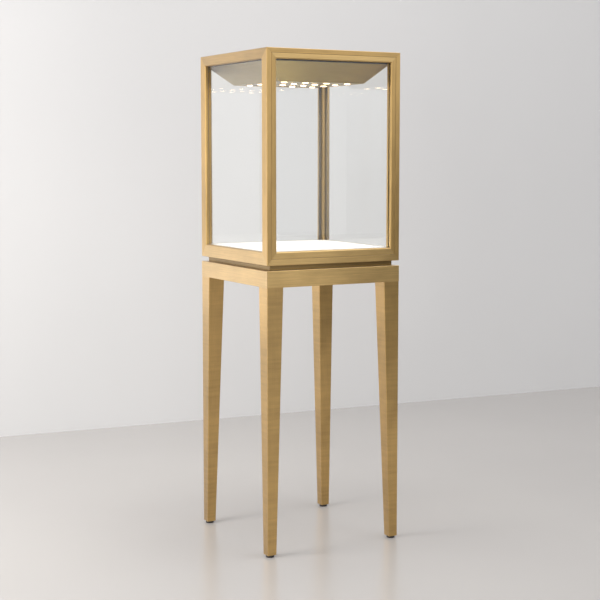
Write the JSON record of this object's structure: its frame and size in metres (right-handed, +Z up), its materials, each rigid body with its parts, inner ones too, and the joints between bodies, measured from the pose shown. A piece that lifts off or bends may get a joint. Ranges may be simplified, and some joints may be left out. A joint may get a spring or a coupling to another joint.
{
  "type": "jewelry tower display case",
  "caption": "Square glazed display case with a pivoting glass door and a lit canopy, on a stand with tapered legs, for showing jewelry in a shop.",
  "frame": {"origin": "on the floor, under the centre of the square plan", "axes": "+Z up; -Y is the front, where the glass door is; +X is the side of the door's pivots"},
  "size_m": [0.45, 0.45, 1.483],
  "materials": {
    "brushed_brass": "brushed along each member, light gold tone",
    "foot_plastic": "satin moulded, near black",
    "black_rubber": "matte extruded",
    "plated_steel": "zinc plated",
    "clear_glass": "clear, polished edges",
    "white_deck": "white laminate, satin",
    "lit_lens": "frosted, lit",
    "white_plastic": "moulded",
    "black_plastic": "moulded, fine texture"
  },
  "bodies": {
    "case": {"foot_rear_left": "foot_plastic", "foot_rear_right": "foot_plastic", "foot_front_right": "foot_plastic", "foot_front_left": "foot_plastic", "leg_front_left": "brushed_brass", "leg_front_right": "brushed_brass", "leg_rear_right": "brushed_brass", "leg_rear_left": "brushed_brass", "leg_plugs": "plated_steel", "apron_front": "brushed_brass", "apron_right": "brushed_brass", "apron_rear": "brushed_brass", "apron_left": "brushed_brass", "corner_gussets": "plated_steel", "leg_bolts": "plated_steel", "base_cover": "brushed_brass", "cover_screws": "plated_steel", "cord_grommet": "black_rubber", "led_driver": "black_plastic", "plinth_bars": "brushed_brass", "case_bolts": "plated_steel", "floor_pan": "plated_steel", "post_front_left": "brushed_brass", "post_front_right": "brushed_brass", "post_rear_right": "brushed_brass", "post_rear_left": "brushed_brass", "sill_rail": "brushed_brass", "bottom_rail_right": "brushed_brass", "bottom_rail_rear": "brushed_brass", "bottom_rail_left": "brushed_brass", "head_rail": "brushed_brass", "top_rail_right": "brushed_brass", "top_rail_rear": "brushed_brass", "top_rail_left": "brushed_brass", "roof_panel": "brushed_brass", "glass_left": "clear_glass", "glass_rear": "clear_glass", "glass_right": "clear_glass", "glass_gaskets": "black_rubber", "setting_blocks": "black_rubber", "corner_beads": "brushed_brass", "deck_board": "white_deck", "deck_channels": "plated_steel", "canopy_shell": "brushed_brass", "canopy_plate": "brushed_brass", "canopy_seal": "black_rubber", "canopy_hangers": "plated_steel", "led_bezels": "brushed_brass", "led_lenses": "lit_lens", "led_board": "white_plastic", "catch_magnet": "black_plastic", "pivot_bushes": "black_plastic"},
    "door": {"door_stile_left": "brushed_brass", "door_stile_right": "brushed_brass", "door_rail_top": "brushed_brass", "door_rail_bottom": "brushed_brass", "door_glass": "clear_glass", "door_gasket": "black_rubber", "door_beads": "brushed_brass", "door_fittings": "plated_steel"}
  },
  "joints": [
    {"name": "door_pivot", "type": "hinge", "parent": "case", "child": "door", "pos_m": [0.1992, -0.22, 1.18], "axis": [0, 0, 1], "range_deg": [0, 105]}
  ]
}
